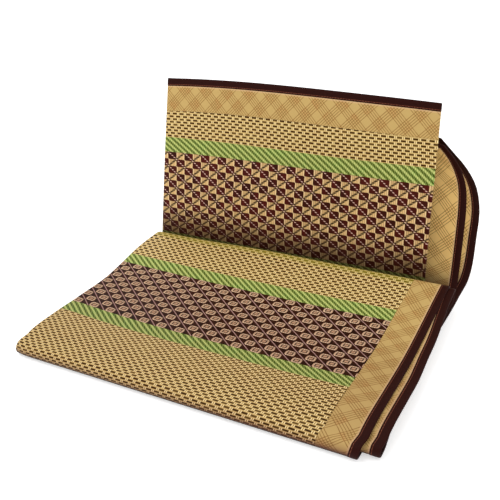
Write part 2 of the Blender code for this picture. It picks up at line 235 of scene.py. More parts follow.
# One column of the cloth, u metres in from bound edge one
def columnAt(u):
    start = 0.0
    for run in runs:
        if u <= start + run["length"] + tiny or run is runs[-1]:
            break
        start += run["length"]
    way = (u - start) / run["length"]
    if "side" not in run:
        first, last = run["parts"]
        return {"layer": run["layer"], "offset": run["offset"], "depth": run["depth"],
                "part": first + (last - first) * way}
    angle = pi * way
    bulge = abs(run["radius"]) * sin(angle)
    return {"layer": 0, "side": run["side"], "offset": run["middle"] + run["radius"] * cos(angle),
            "depth": easeStep(2 * way) if run["deepens"] else 1.0,
            "bulge": -bulge if run["side"] == "left" else bulge}


# Where a column lies across the mat, and its share of the way across its layer
def placeAcross(column, widths):
    if "side" in column:
        return widths[column["side"]] + column["bulge"], 0.0
    edge = {1: "edgeOne", 2: "edgeTwo"}.get(column["layer"], "fold")
    return widths["left"] + (widths[edge] - widths["left"]) * column["part"], column["part"]


# A smooth curve through the rows of a short table
def curveThrough(rows, way):
    count = len(rows) - 1
    position = min(max(way, 0.0), 1.0) * count
    index = min(int(position), count - 1)
    step = position - index
    before, start, end, after = (Vector(rows[min(max(index + k, 0), count)]) for k in (-1, 0, 1, 2))
    pull = (end - before) * step
    bend = (before * 2 - start * 5 + end * 4 - after) * step ** 2
    twist = (start * 3 - before - end * 3 + after) * step ** 3
    return start + (pull + bend + twist) / 2


# The panel's foot stands further back at the right than at the left
def swingAt(x, place):
    floorBack, crease, upright = stretchNamed["floorBack"], stretchNamed["crease"], stretchNamed["panel"]
    before = (place - floorBack["start"]) / (crease["start"] - floorBack["start"])
    after = (place - upright["start"]) / upright["length"]
    amount = easeStep(before) * (1 - panel["swingLoss"] * max(0.0, after))
    return panel["swing"] * amount * (x - panel["leftX"]) / panel["swingWidth"]


# The two rear layers bulge out towards their bound edges
def loopOut(column, part, place, x, y, z, here):
    start = stretchNamed["crease"]["start"]
    if place <= start or column["layer"] not in (1, 2):
        return x, y, z
    way = (place - start) / (matLength - start)
    first = column["layer"] == 1
    edge = curveThrough(outerLoop if first else innerLoop, way)
    offset = column["offset"]
    baseX = here["widths"]["edgeOne" if first else "edgeTwo"]
    baseY = here["y"] + offset * sin(here["heading"]) + swingAt(baseX, place)
    baseZ = here["z"] - offset * cos(here["heading"])
    share = part ** panel["loopTaper"]
    lifted = max(edge.z, stack["plyHalf"] - offset)
    return x + part * (edge.x - baseX), y + share * (edge.y - baseY), z + share * (lifted - baseZ)


# Inner layers lie further back in the front fold, and so does its left corner
def frontEase(column, place, x, here):
    front = stretchNamed["frontFold"]
    middle = front["start"] + front["length"] / 2
    near = 1 - abs(place - middle) / stack["frontSetBackReach"]
    deeper = stack["frontSetBack"] * easeStep(near) * column["depth"]
    close = 1 - abs(place - middle) / stack["cornerReach"]
    inside = here["widths"]["left"] - 1.5 * cloth["layerPitch"] + stack["cornerRadius"] - x
    reach = min(1.0, max(0.0, inside / stack["cornerRadius"]))
    return deeper + stack["cornerDepth"] * reach ** 2 * easeStep(close)


# A wave is held as its turn in a metre and its turn at the start
def waveAt(place, wave):
    return sin(place * wave[0] + wave[1])


# Soft waves, and the sunken back left corner of the stack
def softShape(point, place):
    creaseStart = stretchNamed["crease"]["start"]
    if place > creaseStart:
        push = panel["waveHeight"] * easeStep((place - creaseStart) / panel["waveFade"])
        point.y += push * waveAt(point.x, panel["waveAcross"]) * waveAt(point.z, panel["waveUp"])
        return point
    share = easeStep((point.z - tuckedLevel) / layerStep)
    wave = waveAt(point.x, stack["waveAcross"]) * waveAt(point.y, stack["waveAlong"])
    point.z += stack["waveHeight"] * share * (1 + wave)
    if place < stretchNamed["frontFold"]["start"] and point.z > tuckedLevel:
        droop = stack["backDroopLength"]
        across = easeStep(-point.x / stack["backDroopWidth"])
        along = easeStep((point.y - stack["backEdgeY"] + droop) / droop)
        point.z -= stack["backDroop"] * across * along * (point.z - tuckedLevel)
    return point


def foldedPoint(column, place, here):
    x, part = placeAcross(column, here["widths"])
    y = here["y"] + column["offset"] * sin(here["heading"])
    z = here["z"] - column["offset"] * cos(here["heading"])
    x, y, z = loopOut(column, part, place, x, y, z, here)
    y += frontEase(column, place, x, here) + swingAt(x, place)
    after = (place - stretchNamed["panel"]["start"]) / stretchNamed["panel"]["length"]
    across = min(1.0, max(0.0, (x - panel["leftX"]) / panel["bowWidth"]))
    z += panel["bow"] * easeStep(after) * sin(pi * across ** panel["bowSkew"])
    return softShape(Vector((x, y, z)), place)


# Section of the folded tape, in mm: distance in from its edge, and half its thickness there
tapeSection = [
    (0.0, 0.30), (0.3, 0.66), (0.9, 0.98), (2.2, 1.16), (4.5, 1.20), (7.5, 1.17),
    (9.2, 1.10), (9.9, 0.94), (10.6, 1.08), (11.4, 1.10), (12.0, 0.96),
]

# Grid lines near an edge of the mat: over the tape, then over the border, then the seam to the field
tapeSteps = [distance / 1000 for distance, half in tapeSection]
borderFrom = tapeSteps.index(cloth["borderStart"])
borderTo = cloth["bindingWidth"] + cloth["borderWidth"] - cloth["seamGap"] / 2
parts = fineness["borderSteps"]
borderSteps = []
for k in range(1, parts + 1):
    borderSteps.append(borderTo * k / parts + cloth["bindingWidth"] * (parts - k) / parts)
edgeSteps = tapeSteps + borderSteps + [borderTo + cloth["seamGap"]]
borderLast = len(edgeSteps) - 2
fieldFirst = len(edgeSteps) - 1


def evenSteps(start, end, step):
    count = max(1, ceil((end - start) / step - slack))
    return [start + (end - start) * i / count for i in range(count + 1)]


def columnPlaces():
    places = list(edgeSteps)
    start = 0.0
    for run in runs:
        end = start + run["length"]
        if "side" in run:
            steps = fineness["outerFoldSteps"] if run["deepens"] else fineness["innerFoldSteps"]
            places += evenSteps(start, end, run["length"] / steps)
        else:
            first = max(start, edgeSteps[-1])
            last = min(end, matWidth - edgeSteps[-1])
            places += evenSteps(first, last, fineness["across"])
        start = end
    places += [matWidth - v for v in edgeSteps]
    return sorted(set(round(v, 7) for v in places))


def rowPlaces():
    places = []
    for stretch in matLine:
        bendStep = stretch["length"] * radians(fineness["turn"]) / max(abs(stretch["turn"]), tiny)
        step = min(fineness["along"], bendStep)
        places += evenSteps(stretch["start"], stretch["start"] + stretch["length"], step)
    first = edgeSteps[-1] + fineness["least"]
    inside = [v for v in places if first < v < matLength - first]
    ends = edgeSteps + [matLength - v for v in edgeSteps]
    return sorted(set(round(v, 7) for v in inside + ends))


columnList = columnPlaces()
rowList = rowPlaces()
columns = [columnAt(u) for u in columnList]
rows = [(place, lineAt(place)) for place in rowList]
lastColumn, lastRow = len(columnList) - 1, len(rowList) - 1
gridPoints = [[foldedPoint(column, place, here) for place, here in rows] for column in columns]

# The solids are centred over the origin, so the cloth moves with them
leftMost = min(point.x for line in gridPoints[fieldFirst:] for point in line) - cloth["thickness"] / 2
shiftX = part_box("Woven_field")[0].x - leftMost
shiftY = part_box("Binding_tucked_end")[0].y - stack["tuckedEndY"]
matShift = Vector((shiftX, shiftY, 0))
for line in gridPoints:
    for point in line:
        point += matShift
print("folded shape laid out:", len(columnList), "by", len(rowList), "points, moved by",
      [round(v * 1000, 1) for v in matShift], "mm")


def gridNormals():
    normals = []
    for i in range(lastColumn + 1):
        line = []
        for j in range(lastRow + 1):
            across = gridPoints[min(i + 1, lastColumn)][j] - gridPoints[max(i - 1, 0)][j]
            along = gridPoints[i][min(j + 1, lastRow)] - gridPoints[i][max(j - 1, 0)]
            line.append(across.cross(along).normalized())
        normals.append(line)
    return normals


normals = gridNormals()

# How the woven rows and columns lie on the cloth, as on a real mat whose weave has pulled out of square.
# A table's rows hold a place, how far the columns lean there and which row is there, in mm, the last two
# with three figures: at the left, in the middle and at the right of the layer that shows. On the flat
# lengths the place is v, and rows are counted back from the head. On the panel the place is the distance
# back from the head, and the last figures are added to it.
flatWeave = [
    (0, (0, 0, 0), (1270, 1270, 1270)),
    (240, (6, -2, -4), (1022, 1030, 1028)),
    (298, (6.5, -2.7, -4.8), (962.9, 970.8, 968.8)),
    (318, (1.2, -5.2, -5.6), (951.1, 956.8, 953.7)),
    (343, (-4.1, -7.3, -5.9), (935.0, 938.0, 934.0)),
    (370, (-8.1, -8.2, -5.3), (915.6, 916.4, 911.7)),
    (398, (-6.0, -8.4, -5.0), (888.0, 890.8, 885.2)),
    (416, (-3.1, -7.9, -4.5), (866.7, 870.8, 865.1)),
    (428, (-1.6, -5.9, -2.2), (851.6, 856.9, 850.8)),
    (458, (3.5, -2.8, 0.6), (814.4, 822.5, 817.7)),
    (488, (5.2, -1.9, 1.8), (779.6, 789.6, 784.9)),
    (524, (4.1, -2.4, 2.6), (742.5, 753.0, 746.8)),
    (550, (2.0, -2.5, 2.2), (717.2, 726.0, 717.7)),
    (573, (1.9, 0.0, 1.6), (690.4, 694.5, 689.2)),
    (598, (3.7, 4.3, 1.8), (661.1, 661.2, 660.1)),
    (623, (6.4, 9.6, 3.2), (631.8, 629.0, 633.1)),
    (628, (7, 10.4, 3.6), (624.8, 621.8, 626.2)),
    (644, (8, 12, 4), (593, 590, 594)),
    (700, (4, 5, 2), (545, 543, 545)),
    (960, (0, 0, 0), (310, 310, 310)),
    (1280, (0, 0, 0), (-10, -10, -10)),
]
panelWeave = [
    (0, (8, -1.9, -1), (0, -2, 1)),
    (54, (7.8, -1.9, -1.1), (-0.3, -2.1, 1.3)),
    (75, (5.2, -3.9, -2.6), (0.6, -1.2, 2.2)),
    (96, (2.2, -6.4, -4.5), (0.9, -0.9, 2.5)),
    (119, (3.0, -3.2, -1.2), (0.65, -0.1, 1.4)),
    (136, (1.5, -3.4, -1.3), (0.6, -0.1, 1.2)),
    (160, (-0.2, -3.2, -1.0), (0.3, -0.35, 1.1)),
    (200, (-2.6, -3.0, -1.0), (0.05, -1.0, -0.1)),
    (240, (-7.5, -5.8, -2.2), (2.8, 0.8, 0.5)),
    (262, (-10, -8.5, -4.0), (6.2, 3.5, 2.4)),
    (330, (-10, -8.5, -4.0), (6.2, 3.5, 2.4)),
]
weaveFit = {"flatMiddle": 265.0, "panelMiddle": 735.0, "reach": 220.0, "panelStart": 495.0,
            "panelScale": 0.9706, "panelColumn": 474.8, "blendFrom": 945.0, "blendLength": 35.0}
widthMm = matWidth * 1000
lengthMm = matLength * 1000


# A smooth curve along a table of places, each with three figures across the layer
def weaveTable(table, place, word, across):
    def figure(row):
        left, middle, right = row[1 if word == "lean" else 2]
        return middle + (right - left) / 2 * across + ((left + right) / 2 - middle) * across ** 2

    place = min(max(place, table[0][0]), table[-1][0])
    index = max(k for k in range(len(table) - 1) if table[k][0] <= place)
    near, far = table[index], table[index + 1]
    gap = far[0] - near[0]

    def slope(k):
        first, last = table[max(k - 1, 0)], table[min(k + 1, len(table) - 1)]
        return (figure(last) - figure(first)) / (last[0] - first[0]) * gap

    way = (place - near[0]) / gap
    start, end = figure(near), figure(far)
    rise, fall = slope(index), slope(index + 1)
    return (start + rise * way + (3 * (end - start) - 2 * rise - fall) * way ** 2
            + (rise + fall - 2 * (end - start)) * way ** 3)


# Column and row of the weave at a place on the cloth, all in mm
def weaveAt(u, v):
    fit = weaveFit
    reach = min(1.0, max(-1.0, (fit["flatMiddle"] - u) / fit["reach"]))
    column = u - weaveTable(flatWeave, v, "lean", reach)
    row = weaveTable(flatWeave, v, "row", reach)
    share = easeStep((v - fit["blendFrom"]) / fit["blendLength"])
    if share > 0:
        w = lengthMm - v
        reach = min(1.0, max(-1.0, (u - fit["panelMiddle"]) / fit["reach"]))
        lean = weaveTable(panelWeave, w, "lean", reach)
        upright = (u - fit["panelStart"] + lean) * fit["panelScale"] + fit["panelColumn"]
        column += share * (upright - column)
        row += share * (w + weaveTable(panelWeave, w, "row", reach) - row)
    return column, row


# Where the two sets of crossed lines on the border lie, counted from the middle of a plain square
lattice = {"edgePlus": 877.1, "edgeMinus": 835.3, "endPlus": 780.9, "endMinus": 702.5}


def latticeAt(u, v):
    inEdge = min(u, widthMm - u)
    inEnd = min(v, lengthMm - v)
    if inEdge < inEnd:
        row = weaveAt(u, v)[1]
        return row + inEdge - lattice["edgePlus"], row - inEdge - lattice["edgeMinus"]
    return u + inEnd - lattice["endPlus"], u - inEnd - lattice["endMinus"]


# Half the thickness of the tape at a distance in from its edge, in metres
def tapeHalf(distance):
    distance *= 1000
    for (near, nearHalf), (far, farHalf) in zip(tapeSection, tapeSection[1:]):
        if distance <= far + slack:
            way = (distance - near) / (far - near)
            return (nearHalf + way * (farHalf - nearHalf)) / 1000
    return tapeSection[-1][1] / 1000


def clothHalf(i, j):
    return cloth["thickness"] / 2


def tapeHalfAt(i, j):
    across, along = columnList[i], rowList[j]
    return tapeHalf(min(across, matWidth - across, along, matLength - along))


def newPiece(name, points, faces, material):
    mesh = bpy.data.meshes.new(name)
    mesh.from_pydata(points, [], faces)
    mesh.materials.append(material)
    piece = bpy.data.objects.new(name, mesh)
    bpy.context.scene.collection.objects.link(piece)
    return piece


# A closed sheet between two columns and two rows, with its own measures kept on every point
def sheetPiece(sheet):
    first, last = sheet["first"], sheet["last"]
    columnRange = range(first[0], last[0] + 1)
    rowRange = range(first[1], last[1] + 1)
    points, places, woven, faces, number = [], [], [], [], {}
    for side in (1, -1):
        for i in columnRange:
            for j in rowRange:
                number[side, i, j] = len(points)
                u, v = columnList[i] * 1000, rowList[j] * 1000
                points.append(gridPoints[i][j] + normals[i][j] * side * sheet["half"](i, j))
                places.append((u, v, 0))
                woven.append((*sheet["pattern"](u, v), 0))
    for i in columnRange[:-1]:
        for j in rowRange[:-1]:
            corners = ((i, j), (i + 1, j), (i + 1, j + 1), (i, j + 1))
            faces.append([number[1, a, b] for a, b in corners])
            faces.append([number[-1, a, b] for a, b in reversed(corners)])
    rim = [(i, first[1]) for i in columnRange[:-1]]
    rim += [(last[0], j) for j in rowRange[:-1]]
    rim += [(i, last[1]) for i in reversed(columnRange[1:])]
    rim += [(first[0], j) for j in reversed(rowRange[1:])]
    for here, after in zip(rim, rim[1:] + rim[:1]):
        faces.append([number[1, *after], number[1, *here], number[-1, *here], number[-1, *after]])
    piece = newPiece(sheet["name"], points, faces, sheet["material"])
    for word, values in (("clothPlace", places), ("weavePlace", woven)):
        measure = piece.data.attributes.new(word, "FLOAT_VECTOR", "POINT")
        measure.data.foreach_set("vector", [value for place in values for value in place])
    piece.data.shade_smooth()
    piece.data.set_sharp_from_angle(angle=radians(fineness["sharp"]))
    return piece


def mathNode(operation):
    return lambda self, *others: self.join(operation, *others)


# A number running through a material's nodes, so that patterns read as plain sums
class Wire:
    def __init__(self, tree, socket):
        self.tree = tree
        self.socket = socket

    def join(self, operation, *others):
        node = self.tree.nodes.new("ShaderNodeMath")
        node.operation = operation
        self.tree.links.new(self.socket, node.inputs[0])
        for k, other in enumerate(others):
            if isinstance(other, Wire):
                self.tree.links.new(other.socket, node.inputs[k + 1])
            else:
                node.inputs[k + 1].default_value = other
        return Wire(self.tree, node.outputs[0])

    __add__ = mathNode("ADD")
    __sub__ = mathNode("SUBTRACT")
    __mul__ = mathNode("MULTIPLY")
    __truediv__ = mathNode("DIVIDE")
    away = mathNode("ABSOLUTE")
    whole = mathNode("FLOOR")
    rest = mathNode("FRACT")
    higher = mathNode("MAXIMUM")
    lower = mathNode("MINIMUM")
    power = mathNode("POWER")

    # Share of a repeat from its middle: 0 there, 0.5 at both ends
    def fromMiddle(self):
        return (self.rest() - 0.5).away()

    # 0 below the first value, 1 above the second, soft between
    def rise(self, first, second):
        node = self.tree.nodes.new("ShaderNodeMapRange")
        node.interpolation_type = "SMOOTHSTEP"
        self.tree.links.new(self.socket, node.inputs["Value"])
        low, high = (0.0, 1.0) if first < second else (1.0, 0.0)
        setInputs(node, {"From Min": min(first, second), "From Max": max(first, second),
                         "To Min": low, "To Max": high})
        return Wire(self.tree, node.outputs["Result"])


def setInputs(node, values):
    for name, value in values.items():
        node.inputs[name].default_value = value


def newMaterial(name):
    material = bpy.data.materials.new(name)
    material.use_nodes = True
    return material


# The two measures that each point of the cloth keeps under this name
def placeOn(material, word):
    tree = material.node_tree
    place = tree.nodes.new("ShaderNodeAttribute")
    place.attribute_name = word
    split = tree.nodes.new("ShaderNodeSeparateXYZ")
    tree.links.new(place.outputs["Vector"], split.inputs[0])
    return Wire(tree, split.outputs["X"]), Wire(tree, split.outputs["Y"])


# Screen colour, 0 to 255, to the linear values that the shader takes
def paint(colour):
    parts = [part / 255 for part in colour]
    return [part / 12.92 if part <= 0.04045 else ((part + 0.055) / 1.055) ** 2.4 for part in parts]


# The first colour, and the second over it by a share; a colour is three numbers or a node's socket
def mix(share, first, second, blend="MIX"):
    tree = share.tree
    node = tree.nodes.new("ShaderNodeMix")
    node.data_type = "RGBA"
    node.blend_type = blend
    tree.links.new(share.socket, node.inputs["Factor"])
    for key, colour in (("A", first), ("B", second)):
        socket = next(s for s in node.inputs if s.name == key and s.type == "RGBA")
        if isinstance(colour, tuple):
            socket.default_value = (*paint(colour), 1.0)
        else:
            tree.links.new(colour, socket)
    return next(s for s in node.outputs if s.type == "RGBA")


def noiseAt(kind, u, v):
    tree = u.tree
    both = tree.nodes.new("ShaderNodeCombineXYZ")
    tree.links.new(u.socket, both.inputs[0])
    tree.links.new(v.socket, both.inputs[1])
    noise = tree.nodes.new(kind)
    tree.links.new(both.outputs[0], noise.inputs["Vector"])
    return noise


# Soft noise with patches about as wide as the size, in mm
def cloudAt(u, v, size, detail=2.0):
    noise = noiseAt("ShaderNodeTexNoise", u / size, v / size)
    setInputs(noise, {"Scale": 1.0, "Detail": detail})
    return Wire(u.tree, noise.outputs["Fac"])


# A chance number for each motif
def speckAt(number, turn):
    noise = noiseAt("ShaderNodeTexWhiteNoise", number, turn)
    noise.noise_dimensions = "2D"
    return Wire(number.tree, noise.outputs["Value"])


# Colour, gloss and relief; depth is how high the relief stands, in metres
def finishShader(material, colour, height, look):
    tree = material.node_tree
    shader = tree.nodes["Principled BSDF"]
    tree.links.new(colour, shader.inputs["Base Color"])
    setInputs(shader, {"Roughness": look["roughness"], "Specular IOR Level": look["shine"]})
    bump = tree.nodes.new("ShaderNodeBump")
    setInputs(bump, {"Distance": look["depth"], "Strength": look["relief"]})
    tree.links.new(height.socket, bump.inputs["Height"])
    tree.links.new(bump.outputs["Normal"], shader.inputs["Normal"])
    return material


# Each weave's sizes in mm, screen colours, and shares of how strongly a thing shows. A pair says where a
# thing ends and where it is whole. In the weaves below, a small number beside an edge is how softly it
# fades, and the sum that comes back last says how far each thing stands up.
dashWeave = {
    "repeat": 11.87, "dashLength": 7.8, "dashWidth": 2.5, "threadFrom": 4.1, "threadTo": 5.2,
    "dotFrom": 5.45, "threadSide": (2.3, 1.4), "dotSide": (1.3, 0.7), "seamSide": (1.7, 2.3),
    "cloudSize": 26.0, "fade": 0.15, "brownShare": 0.55, "seamShare": 0.35, "threadShare": 0.9,
    "dotShare": 0.8,
    "ground": (188, 154, 86), "pale": (255, 232, 172), "dash": (60, 34, 0), "dot": (126, 86, 34),
    "brown": (180, 138, 76),
}
greenWeave = {
    "repeat": 11.87, "rowRepeat": 8.2, "thread": 2.97, "cloudSize": 22.0, "freshShare": 0.7,
    "knotShare": 0.45,
    "dark": (60, 76, 8), "middle": (110, 130, 52), "light": (202, 206, 126), "fresh": (84, 138, 50),
}
squareWeave = {
    "repeat": 29.7, "lineWidth": 2.6, "dotPitch": 2.95, "thread": 2.97, "wobble": 1.6, "wobbleSize": 2.2,
    "stitchSide": (1.7, 0.8), "edgeShare": 0.8, "threadShare": 0.42, "stitchShare": 0.9, "nodeShare": 0.7,
    "tan": (226, 186, 126), "greyTan": (206, 168, 114), "edge": (240, 206, 156), "slash": (30, 14, 0),
    "maroon": (76, 18, 10), "brown": (50, 14, 4), "dots": (238, 194, 176),
}
medallionWeave = {
    "repeat": 29.7, "width": 13.8, "height": 10.6, "lineWidth": 1.15, "thread": 2.97, "bead": 2.2,
    "squareness": 6.0, "wobble": 0.5, "wobbleSize": 1.8, "cloudSize": 9.0, "strokeSize": 1.9,
    "speckSize": 2.0, "rightCut": (11.4, 9.4), "leftCut": (10.9, 8.9), "innerCut": (6.5, 9.5),
    "inner": (0.78, 0.6), "core": (0.44, 0.3), "insideShare": 0.9, "coreShare": 0.85,
    "lineShare": 0.85, "beadShare": 0.8,
    "ring": (190, 146, 112), "stroke": (255, 222, 184), "inside": (44, 18, 6), "middle": (206, 160, 124),
    "brown": (54, 20, 4), "shade": (34, 8, 0), "line": (146, 100, 92), "beadColour": (220, 184, 170),
}


# Distance in mm from the nearest motif's middle, the number of its row and its number in the row
def motifPlace(a, b, band, look):
    rows = (b - band["from"]) / band["rowPitch"]
    number = rows.whole()
    py = (rows - number - 0.5) * band["rowPitch"]
    turns = a / look["repeat"] + number * 0.5 + (0.5 - band["shift"])
    px = (turns.rest() - 0.5) * look["repeat"]
    return px, py, number, turns.whole()


# Distance in mm across, from the nearest slanted line through the cells; sign 1 leans like a slash
def slantPlace(a, b, band, look, sign, offset):
    cells = a / (look["repeat"] / 2) - 2 * band["shift"]
    rows = (b - band["from"]) / band["rowPitch"] - 0.5
    turns = (cells + rows * sign) / 2 + (0.5 - offset)
    return (turns.rest() - 0.5) * look["repeat"]


def wovenDashes(a, b, band):
    look = dashWeave
    px, py, number, turn = motifPlace(a, b, band, look)
    away, aside = px.away(), py.away()
    half, thick = look["dashLength"] / 2, look["dashWidth"] / 2
    fade = speckAt(number, turn).rise(0.0, 0.5) * look["fade"] + (1 - look["fade"])
    dash = away.rise(half + 0.35, half - 0.25) * aside.rise(thick + 0.35, thick - 0.2) * fade
    pale = away.rise(look["threadFrom"] - 0.3, look["threadFrom"] + 0.2)
    pale = pale * away.rise(look["threadTo"] + 0.3, look["threadTo"] - 0.2)
    pale = pale * aside.rise(*look["threadSide"])
    dot = away.rise(look["dotFrom"] - 0.15, look["dotFrom"] + 0.25) * aside.rise(*look["dotSide"])
    cloud = cloudAt(a, b, look["cloudSize"]).rise(0.35, 0.75) * look["brownShare"]
    ground = mix(cloud, look["ground"], look["brown"])
    seam = aside.rise(*look["seamSide"]) * look["seamShare"]
    colour = mix(seam, ground, look["pale"])
    colour = mix(pale * look["threadShare"], colour, look["pale"])
    colour = mix(dot * look["dotShare"], colour, look["dot"])
    colour = mix(dash, colour, look["dash"])
    height = pale * 0.5 - dash * 0.6 - dot * 0.2 - seam * 0.4
    return colour, height


def wovenGreen(a, b, band):
    look = greenWeave
    slant = (a / look["repeat"] - b / look["rowRepeat"]).fromMiddle()
    threads = (a / look["thread"]).fromMiddle().rise(0.12, 0.4)
    ticks = (a / look["thread"] - b / look["rowRepeat"] * 2).fromMiddle()
    cloud = cloudAt(a, b, look["cloudSize"]).rise(0.45, 0.7)
    middle = mix(cloud * look["freshShare"], look["middle"], look["fresh"])
    colour = mix(slant.rise(0.1, 0.24), look["dark"], middle)
    light = slant.rise(0.24, 0.36) * (threads * 0.6 + 0.4)
    colour = mix(light, colour, look["light"])
    knots = slant.rise(0.26, 0.14) * ticks.rise(0.3, 0.45)
    colour = mix(knots * look["knotShare"], colour, look["light"])
    return colour, light * 0.6 + knots * 0.2


def wovenSquares(a, b, band):
    look = squareWeave
    px, py, number, turn = motifPlace(a, b, band, look)
    slash = slantPlace(a, b, band, look, 1, 0.0)
    across = slantPlace(a, b, band, look, -1, 0.5)
    threads = (px / look["thread"]).fromMiddle().rise(0.06, 0.3)
    wobble = (cloudAt(a, b, look["wobbleSize"]) - 0.5) * look["wobble"]
    sideways, upward = px.away() - look["repeat"] / 4, py.away() - band["rowPitch"] / 2
    light = (sideways + wobble).rise(0.15, -0.65) * upward.rise(0.0, -0.7)
    lower = slash.rise(-0.8, 0.8)
    tan = mix(lower, look["greyTan"], look["tan"])
    edge = (sideways + 1.5).away().rise(1.2, 0.3)
    tan = mix(edge * threads * look["edgeShare"], tan, look["edge"])
    tan = mix((threads - 1) * -look["threadShare"], tan, look["slash"])
    patch = speckAt(number, turn)
    dark = mix(patch, look["brown"], look["maroon"])
    dots = (b / look["dotPitch"]).fromMiddle()
    stitch = across.away().rise(*look["stitchSide"]) * dots.rise(0.32, 0.16)
    colour = mix(light, dark, tan)
    line = slash.away().rise(look["lineWidth"] + 0.35, look["lineWidth"] - 0.5)
    line = line * (dots.rise(0.1, 0.3) * 0.5 + 0.5)
    colour = mix(line * (light * 0.8 + 0.2), colour, look["slash"])
    colour = mix(stitch * ((light - 1) * -look["stitchShare"]), colour, look["dots"])
    node = sideways.away().rise(1.0, 0.4) * upward.away().rise(0.9, 0.3)
    colour = mix(node * look["nodeShare"], colour, look["edge"])
    return colour, light * 0.6 - line * light * 0.4 + stitch * 0.3


def wovenMedallions(a, b, band):
    look = medallionWeave
    px, py = motifPlace(a, b, band, look)[:2]
    across = slantPlace(a, b, band, look, -1, 0.5)
    threads = (px / look["thread"] + 0.5).fromMiddle().rise(0.08, 0.34)
    wobble = (cloudAt(a, b, look["wobbleSize"]) - 0.5) * look["wobble"]
    wide, high = px.away() / (look["width"] / 2), py.away() / (look["height"] / 2)
    corner = wide.power(look["squareness"]) + high.power(look["squareness"])
    light = (corner + wobble).rise(1.15, 0.8)
    light = light * (px - py).rise(*look["rightCut"]) * (px + py).rise(*look["leftCut"])
    cloud = cloudAt(a, b, look["cloudSize"]).rise(0.35, 0.7)
    dark = mix(cloud, look["brown"], look["shade"])
    strokes = threads * (cloudAt(a, b * 0.6, look["strokeSize"]).rise(0.35, 0.6) * 0.5 + 0.5)
    block = mix(strokes, look["ring"], look["stroke"])
    depth = wide.higher(high)
    inside = depth.rise(*look["inner"]).higher((py - px).rise(*look["innerCut"]) * 0.6)
    block = mix(inside * look["insideShare"], block, look["inside"])
    specks = cloudAt(a * 1.4, b, look["speckSize"]).rise(0.35, 0.55)
    core = depth.rise(*look["core"]) * (specks * 0.6 + 0.4)
    block = mix(core * look["coreShare"], block, look["middle"])
    colour = mix(light, dark, block)
    beads = (b / look["bead"]).fromMiddle().rise(0.3, 0.1)
    pale = across.away().rise(look["lineWidth"] + 0.3, look["lineWidth"] - 0.45) * ((light - 1) * -1)
    colour = mix(pale * look["lineShare"], colour, look["line"])
    colour = mix(pale * beads * look["beadShare"], colour, look["beadColour"])
    return colour, light * 0.6 + pale * 0.5 + strokes * light * 0.3


# Painted shade along the cloth, laid into its colour: v in mm along it, how far that reaches, and how
# strong it is at the left and at the right of the layer that shows in front. All but the first are on the
# border too.
paintedShadeAndTint = [
    # Dark green tint along the crease: the panel's green foot band shown there, with painted shade
    {"v": 296, "reach": 14, "left": 0.4, "right": 0.4, "colour": (160, 150, 40), "blend": "MIX"},
    # Painted shade over the front of the flat, which the light reaches more
    {"v": 545, "reach": 175, "left": 1.0, "right": 1.0, "colour": (237, 233, 235), "blend": "MULTIPLY"},
    # Painted shade on the front fold, a painted reddish shade under its edge, and a painted contact
    # shadow along its bottom
    {"v": 641, "reach": 14, "left": 0.8, "right": 1.0, "colour": (175, 150, 165), "blend": "MULTIPLY"},
    {"v": 641, "reach": 9, "left": 0.1, "right": 0.7, "colour": (96, 44, 28), "blend": "MIX"},
    {"v": 641, "reach": 8, "left": 0.9, "right": 0.95, "colour": (22, 10, 6), "blend": "MIX"},
    # Painted shade at the panel's foot, in the crease
    {"v": 1004, "reach": 64, "left": 0.75, "right": 0.75, "colour": (42, 14, 4), "blend": "MIX"},
]

# Where left gives way to right, as u in mm, and the share of a reach that is shaded in full
shadeFade = {"left": 300, "right": 100, "whole": 0.2}


# Lays each place's painted shade, or the green tint at the crease, over the colour
def addShadeAndTint(colour, u, v, places):
    atRight = u.rise(shadeFade["left"], shadeFade["right"])
    for mark in places:
        near = (v - mark["v"]).away().rise(mark["reach"], mark["reach"] * shadeFade["whole"])
        near = near * (atRight * (mark["right"] - mark["left"]) + mark["left"])
        colour = mix(near, colour, mark["colour"], mark["blend"])
    return colour


# Bands along the mat: what is woven from each distance in mm back from its head on. A row's motifs sit
# half a repeat over from the next row's; shift is the first row's share of a repeat.
bands = [
    {"weave": wovenDashes, "from": 48.8, "rowPitch": 4.65, "shift": 0.5},
    {"weave": wovenGreen, "from": 95.3},
    {"weave": wovenSquares, "from": 119.4, "rowPitch": 11.8, "shift": 0.5},
    {"weave": wovenGreen, "from": 261.0},
    {"weave": wovenDashes, "from": 284.9, "rowPitch": 4.7, "shift": 0.044},
    {"weave": wovenGreen, "from": 722.0},
    {"weave": wovenMedallions, "from": 746.0, "rowPitch": 11.8, "shift": 0.503},
    {"weave": wovenGreen, "from": 887.6},
    {"weave": wovenDashes, "from": 911.6, "rowPitch": 4.7, "shift": 0.044},
]
fieldLook = {"bandEdge": 0.35, "fibreAcross": 6, "fibreSize": 1.6, "fibreDetail": 3.0, "fibreShare": 0.5,
             "fibreHeight": 0.3, "fibre": (60, 40, 15), "roughness": 0.5, "shine": 0.07, "depth": 0.0005,
             "relief": 0.5}


def fieldMaterial():
    look = fieldLook
    material = newMaterial("woven_field")
    a, b = placeOn(material, "weavePlace")
    colour, height = bands[0]["weave"](a, b, bands[0])
    for band in bands[1:]:
        inBand = b.rise(band["from"] - look["bandEdge"], band["from"] + look["bandEdge"])
        nextColour, nextHeight = band["weave"](a, b, band)
        colour = mix(inBand, colour, nextColour)
        height = height + (nextHeight - height) * inBand
    fibre = cloudAt(a * look["fibreAcross"], b, look["fibreSize"], look["fibreDetail"])
    colour = mix((fibre - 0.5) * look["fibreShare"], colour, look["fibre"])
    u, v = placeOn(material, "clothPlace")
    # Painted shade at the crease, over the front of the flat, at the front fold and at the panel's foot
    colour = addShadeAndTint(colour, u, v, paintedShadeAndTint)
    return finishShader(material, colour, height + fibre * look["fibreHeight"], look)


